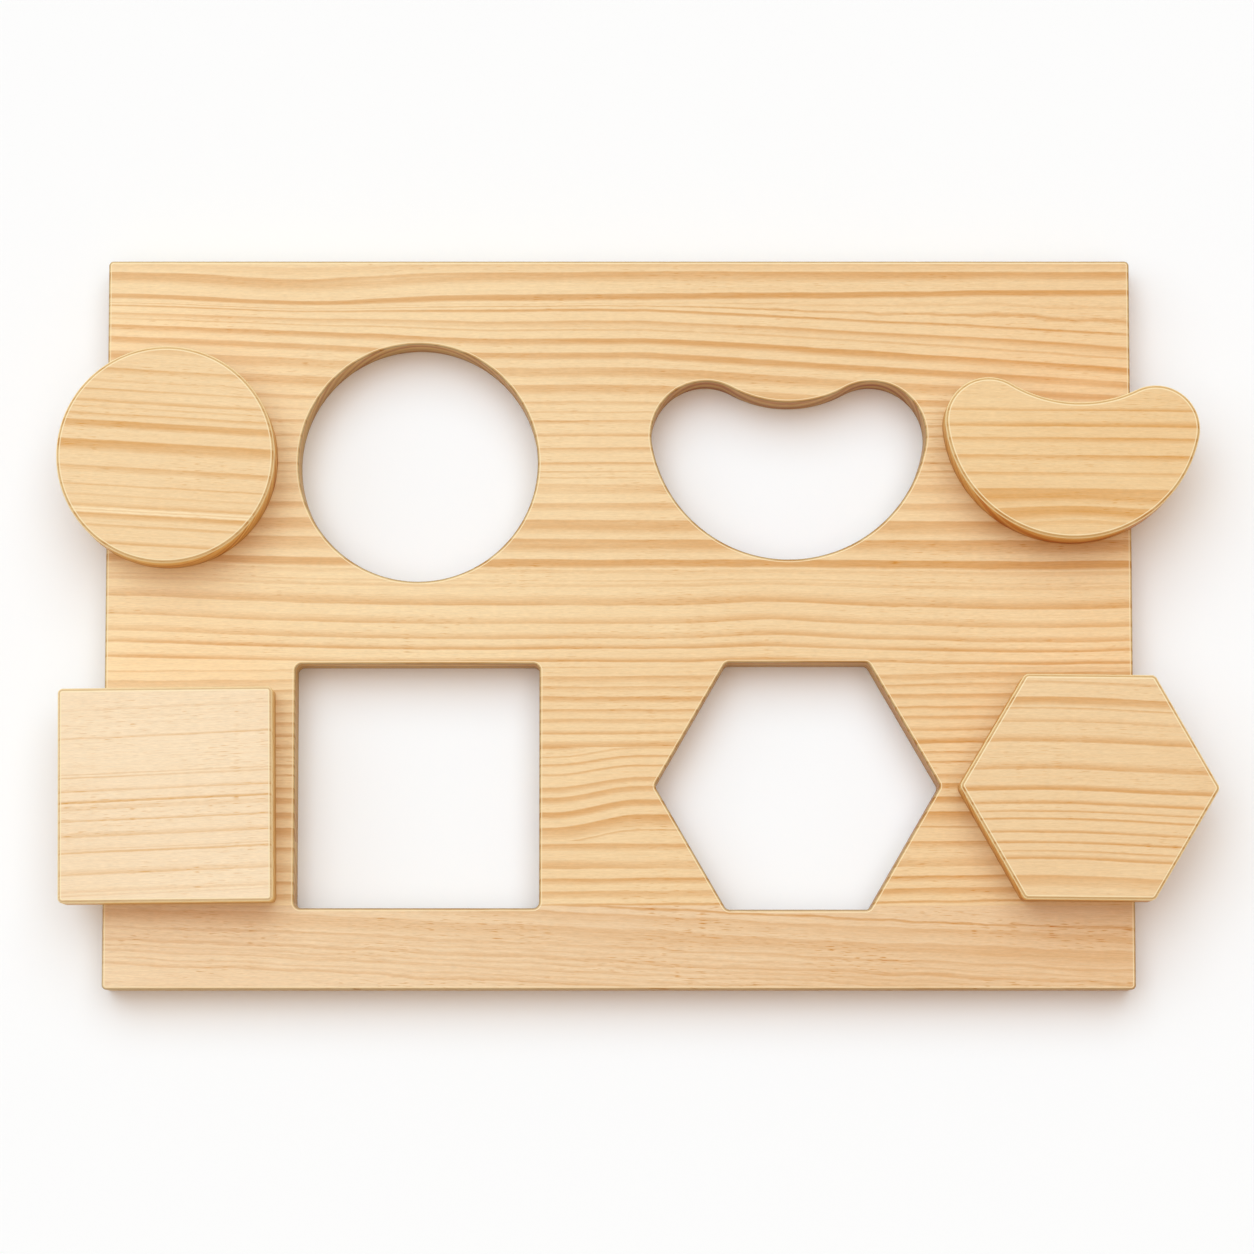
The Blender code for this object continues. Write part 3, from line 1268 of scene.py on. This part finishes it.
    hexagon = Pine(
        pale=(0.88, 0.64, 0.365),
        seed=61.0,
        contrast=1.15,
        tone=0.15,
        drift=(0.0006, -0.0008),
        wander=0.4,
        pushes=(Swell(-12, 0, 45, 200, 1.9), Bend(-100, 100, -0.9)),
        bands=rings(
            (39.2, -1.3, 0.24, 0.8), (33.0, -3.6, 0.56, 0.6), (28.9, -0.9, 0.34),
            (23.2, 1.7, 0.27), (15.6, 3.2, 0.38, 0.55), (5.1, 3.0, 0.38),
            (-2.9, 2.3, 0.66, 0.55), (-8.2, 1.7, 0.56), (-11.3, 1.0, 0.5),
            (-13.6, -1.0, 0.5, 0.8), (-19.3, 1.4, 0.46), (-23.3, 1.2, 0.58),
            (-26.1, -0.9, 0.42), (-29.5, 1.9, 0.54, 0.4), (-35.6, -5.0, 0.36, 0.5),
        ),
    )
    bean = Pine(
        pale=(0.89, 0.64, 0.345),
        dark=(0.68, 0.32, 0.07),
        seed=71.0,
        tone=0.17,
        drift=(0.0006, -0.0008),
        slant=0.04,
        wander=0.4,
        pushes=(Swell(5, -42, 26, 8, 2.5),),
        bands=rings(
            (-0.2, 1.4, 0.46), (-6.4, 2.5, 0.5), (-10.6, -2.3, 0.42, 0.55), (-17.5, -2.3, 0.48),
            (-24.2, -1.8, 0.42), (-30.7, -7.2, 0.42, 1.0), (-38.9, -5.6, 0.4, 1.25),
            (-45.2, -1.7, 0.18, 0.9),
        ),
    )
    rows = {"upper": upper, "second": second, "third": third, "fourth": fourth, "lower": lower}


@dataclass
class Board:
    """The glued panel with its four openings.

    Args:
        outline: its plan.
        thickness: the thickness of its stock.
        easing: how far the rounds of its edges reach.
        upper_row: where the middle of the round opening lies across the panel.
        lower_row: where the middles of the lower openings lie across it.
        left_column: where the middles of the left openings lie along it.
        right_column: where the middle of the hexagonal opening lies along it.
        bean_place: the middle of the bean opening's belly.
        circle: the round opening.
        square: the square opening.
        hexagon: the hexagonal opening.
        bean: the bean opening.
        overcut: how far the cutters reach past the faces.
    """

    outline: Rectangle = Rectangle(400 * MM, 285 * MM, 1.8 * MM)
    thickness: float = 20 * MM
    easing: float = 1.2 * MM
    upper_row: float = 62.8 * MM
    lower_row: float = -63.6 * MM
    left_column: float = -78.3 * MM
    right_column: float = 69.3 * MM
    bean_place: Vector = Vector((66.3, 78.9, 0)) * MM
    circle: Round = Round(93.2 * MM)
    square: Rectangle = Rectangle(94.8 * MM, 94.8 * MM, 2.4 * MM)
    hexagon: Hexagon = Hexagon(95.9 * MM, 2.2 * MM)
    bean: Bean = Bean()
    overcut: float = 5 * MM

    def openings(self) -> list[tuple[Outline, Vector]]:
        """List the openings.

        Returns:
            Each opening's outline and place.
        """
        return [
            (self.circle, Vector((self.left_column, self.upper_row, 0))),
            (self.bean, self.bean_place),
            (self.square, Vector((self.left_column, self.lower_row, 0))),
            (self.hexagon, Vector((self.right_column, self.lower_row, 0))),
        ]

    def rout(self) -> Piece:
        """Model the whole panel with its openings and eased edges.

        The flat faces are parted through the middle of each opening first, so that no face
        has a hole in it.

        Returns:
            The panel in one piece.
        """
        sheet = self.outline.raise_solid("routed_panel", 0, self.thickness)
        with editing(sheet, Mode.VERTEX):
            for _, place in self.openings():
                bpy.ops.mesh.select_all(action="SELECT")
                bpy.ops.mesh.bisect(plane_co=place, plane_no=(1, 0, 0))
        for outline, place in self.openings():
            reach = self.thickness + self.overcut
            cutter = outline.raise_solid("cutter", -self.overcut, reach)
            cutter.location = place
            settle(cutter)
            cut_away(sheet, cutter)
        bevel_where(sheet, is_rim, self.easing, FINE.easing)
        return sheet

    def glue_lines(self) -> list[float]:
        """Find the glue lines between the staves' boxes.

        Returns:
            Where the four lines lie across the panel, from the far one to the near one.
        """
        staves = ["upper_stave", "second_stave_left", "third_stave_left"]
        staves += ["fourth_stave_left", "lower_stave"]
        pairs = zip(staves, staves[1:])
        return [(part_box(far)[0].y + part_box(near)[1].y) / 2 for far, near in pairs]

    def build(self) -> dict[str, Piece]:
        """Model and dress every stave.

        Returns:
            The staves by the name of the CAD node that each replaces.
        """
        sheet = self.rout()
        lines = self.glue_lines()
        left, right = self.left_column, self.right_column
        whole = {"": (None, None)}
        parted = {"_left": (None, left), "_middle": (left, right), "_right": (right, None)}
        made = {}
        for row, far, near in zip(Lumber.rows, [None, *lines], [*lines, None]):
            columns = whole if None in (far, near) else parted
            for column, (low, high) in columns.items():
                name = f"{row}_stave{column}"
                made[name] = self.saw(sheet, name, far, near, low, high)
                self.dress(made[name], Lumber.rows[row])
        bpy.data.objects.remove(sheet, do_unlink=True)
        return made

    def saw(
        self,
        sheet: Piece,
        name: str,
        far: float | None,
        near: float | None,
        low: float | None,
        high: float | None,
    ) -> Piece:
        """Saw one stave out of the panel.

        Args:
            sheet: the whole routed panel.
            name: the CAD node's name.
            far: the glue line at its far side, or None for the panel's own edge.
            near: the glue line at its near side, or None.
            low: where it is parted on its left, or None.
            high: where it is parted on its right, or None.

        Returns:
            The stave.
        """
        make_active(sheet)
        bpy.ops.object.duplicate(linked=False)
        stave = bpy.context.object
        stave.name = stave.data.name = f"pine_{name}"
        cuts = [(far, (0, 1, 0)), (near, (0, -1, 0)), (low, (-1, 0, 0)), (high, (1, 0, 0))]
        with editing(stave, Mode.VERTEX):
            for place, outward in cuts:
                if place is None:
                    continue
                bpy.ops.mesh.select_all(action="SELECT")
                point = Vector(map(abs, outward)) * place
                bpy.ops.mesh.bisect(
                    plane_co=point, plane_no=outward, use_fill=True, clear_outer=True
                )
        smooth(stave, FINE.smooth_angle)
        return stave

    def dress(self, stave: Piece, pine: Pine) -> None:
        """Give a stave the pine of its row, whose figure runs on from stave to stave."""
        pine.dress(stave, Vector((0, 0, self.thickness)), 0.0, PANEL_EDGE)


@dataclass
class Block:
    """A loose block that lies on the panel.

    Args:
        node: the CAD node that it replaces.
        outline: its plan.
        pine: the wood it is cut from.
        middle: the middle of its figure in plan, in millimetres.
        degrees: how far it is turned about the upright.
        easing: how far the rounds of its edges reach.
    """

    node: str
    outline: Outline
    pine: Pine
    middle: tuple[float, float]
    degrees: float
    easing: float = 1.6 * MM

    def build(self) -> Piece:
        """Model and dress the block in the place of its CAD node.

        Returns:
            The block.
        """
        low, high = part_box(self.node)
        block = self.outline.raise_solid(f"pine_{self.node}", 0, high.z - low.z)
        bevel_where(block, is_rim, self.easing, FINE.easing)
        block.rotation_euler.z = math.radians(self.degrees)
        settle(block)
        corners = [Vector(corner) for corner in block.bound_box]
        middle = sum(corners, Vector()) / len(corners)
        block.location = (low + high) / 2 - middle
        settle(block)
        smooth(block, FINE.smooth_angle)
        self.dress(block, high.z)
        return block

    def dress(self, block: Piece, top: float) -> None:
        """Give the block its pine, at the height of its top face."""
        centre = Vector((*(Vector(self.middle) * MM), top))
        self.pine.dress(block, centre, math.radians(self.degrees), BLOCK_EDGE)


def blocks() -> list[Block]:
    """List the four blocks.

    Returns:
        The blocks at their sizes and turns.
    """
    square = Rectangle(82.6 * MM, 82.6 * MM, 2 * MM)
    hexagon = Hexagon(86.7 * MM, 2.4 * MM)
    return [
        Block("disc_block", Round(84.6 * MM), Lumber.disc, (-175.3, 63.4), 0.0),
        Block("square_block", square, Lumber.square, (-174.15, -68.2), 0.6),
        Block("bean_block", Bean(inset=4.2 * MM), Lumber.bean, (175.85, 80.5), -2.8),
        Block("hexagon_block", hexagon, Lumber.hexagon, (181.0, -65.2), -0.6),
    ]


def put_in_scene(name: str, data: bpy.types.ID, turn: Sequence[float]) -> Piece:
    """Add a lamp or a camera.

    Args:
        name: its name.
        data: the lamp's or camera's settings.
        turn: its turn about the three axes, from looking straight down.

    Returns:
        The new object.
    """
    thing = bpy.data.objects.new(name, data)
    bpy.context.scene.collection.objects.link(thing)
    thing.rotation_euler = turn
    return thing


@dataclass(frozen=True)
class Lamp:
    """A wide soft lamp far away.

    Args:
        name: its name.
        colour: the colour of its light.
        strength: how strong it is.
        spread: how wide it looks from the board, in degrees.
        lean: how far it hangs to the front of straight overhead, in degrees.
        aside: how far it hangs to the right.
    """

    name: str
    colour: Colour
    strength: float
    spread: float
    lean: float
    aside: float

    def hang(self) -> None:
        """Add the lamp to the scene."""
        data = bpy.data.lights.new(self.name, "SUN")
        data.color = self.colour
        data.energy = self.strength
        data.angle = math.radians(self.spread)
        put_in_scene(self.name, data, (math.radians(self.lean), math.radians(self.aside), 0))


@dataclass(frozen=True)
class Studio:
    """The floor, the light and the camera.

    Args:
        camera_place: where the camera stands.
        camera_tilt: how far it looks up from straight down.
        focal_pixels: its focal length in pixels of the photograph.
        frame_pixels: the width of the photograph.
        sensor: the width of its sensor, in millimetres.
        floor_size: the length and width of the floor.
        floor_drop: how far the floor lies under the board.
        floor_colour: the colour of the floor.
        sky_colour: the light from all round, as the board gets it.
        backdrop: the colour that the camera and the gloss see there instead.
        lamps: the lamps.
    """

    camera_place: Vector = Vector((3.17, -180.6, 1861.3)) * MM
    camera_tilt: float = math.radians(5.55)
    focal_pixels: float = 4752.0
    frame_pixels: float = 1254.0
    sensor: float = 36.0
    floor_size: float = 8.0
    floor_drop: float = 0.3 * MM
    floor_colour: Colour = (0.98, 0.98, 0.975)
    sky_colour: Colour = (0.42, 0.28, 0.17)
    backdrop: Colour = (1.0, 1.0, 1.0)
    lamps: tuple[Lamp, ...] = (
        Lamp("overhead lamp", (1.0, 1.0, 1.0), 0.628, 60, 0, 0),
        Lamp("back lamp", (0.62, 0.837, 1.0), 1.594, 60, -25, 0),
        Lamp("left lamp", (0.56, 0.79, 1.0), 0.675, 60, -15, -35),
    )

    def set_camera(self) -> None:
        """Look at the board as the photograph does."""
        data = bpy.data.cameras.new("camera")
        data.sensor_width = self.sensor
        data.lens = self.focal_pixels / self.frame_pixels * self.sensor
        camera = put_in_scene("camera", data, (self.camera_tilt, 0, 0))
        camera.location = self.camera_place
        bpy.context.scene.camera = camera

    def set_floor(self) -> None:
        """Lay a plain pale floor under the board."""
        deselect_everything()
        place = (0, 0, -self.floor_drop)
        bpy.ops.mesh.primitive_plane_add(size=self.floor_size, location=place)
        floor = bpy.context.object
        floor.name = "floor"
        settle(floor)
        bench = Bench(bpy.data.materials.new("floor paper"))
        matt = {"Roughness": 1.0, "Specular IOR Level": 0.0}
        bench.finish({"Base Color": self.floor_colour, **matt})
        floor.data.materials.append(bench.owner)

    def set_light(self) -> None:
        """Light the board from wide soft lamps and from all round."""
        for lamp in self.lamps:
            lamp.hang()
        world = bpy.data.worlds.new("studio")
        bpy.context.scene.world = world
        bench = Bench(world)
        seen: Value = 0.0
        for ray in ("Is Camera Ray", "Is Glossy Ray", "Is Transmission Ray"):
            seen = bench.node("ShaderNodeLightPath", {}, {}, ray) + seen
        bench.finish({"Color": bench.mix(seen, self.sky_colour, self.backdrop)})

    def build(self) -> None:
        """Set up the floor, the light, the camera and the view."""
        self.set_camera()
        self.set_floor()
        self.set_light()
        bpy.context.scene.view_settings.view_transform = "Standard"


def main() -> None:
    """Build the board in the frame."""
    logging.basicConfig(level=logging.INFO, format="%(message)s")
    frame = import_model()
    bodies = frame["record"]["behaviour"]["bodies"]
    body_of = {node: body for body, nodes in bodies.items() for node in nodes}
    Studio().build()
    made = Board().build()
    for block in blocks():
        made[block.node] = block.build()
    for node, piece in made.items():
        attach(piece, body_of[node])
        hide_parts(node)
        LOG.info("%s: %d faces", piece.name, len(piece.data.polygons))


if __name__ == "__main__":
    main()
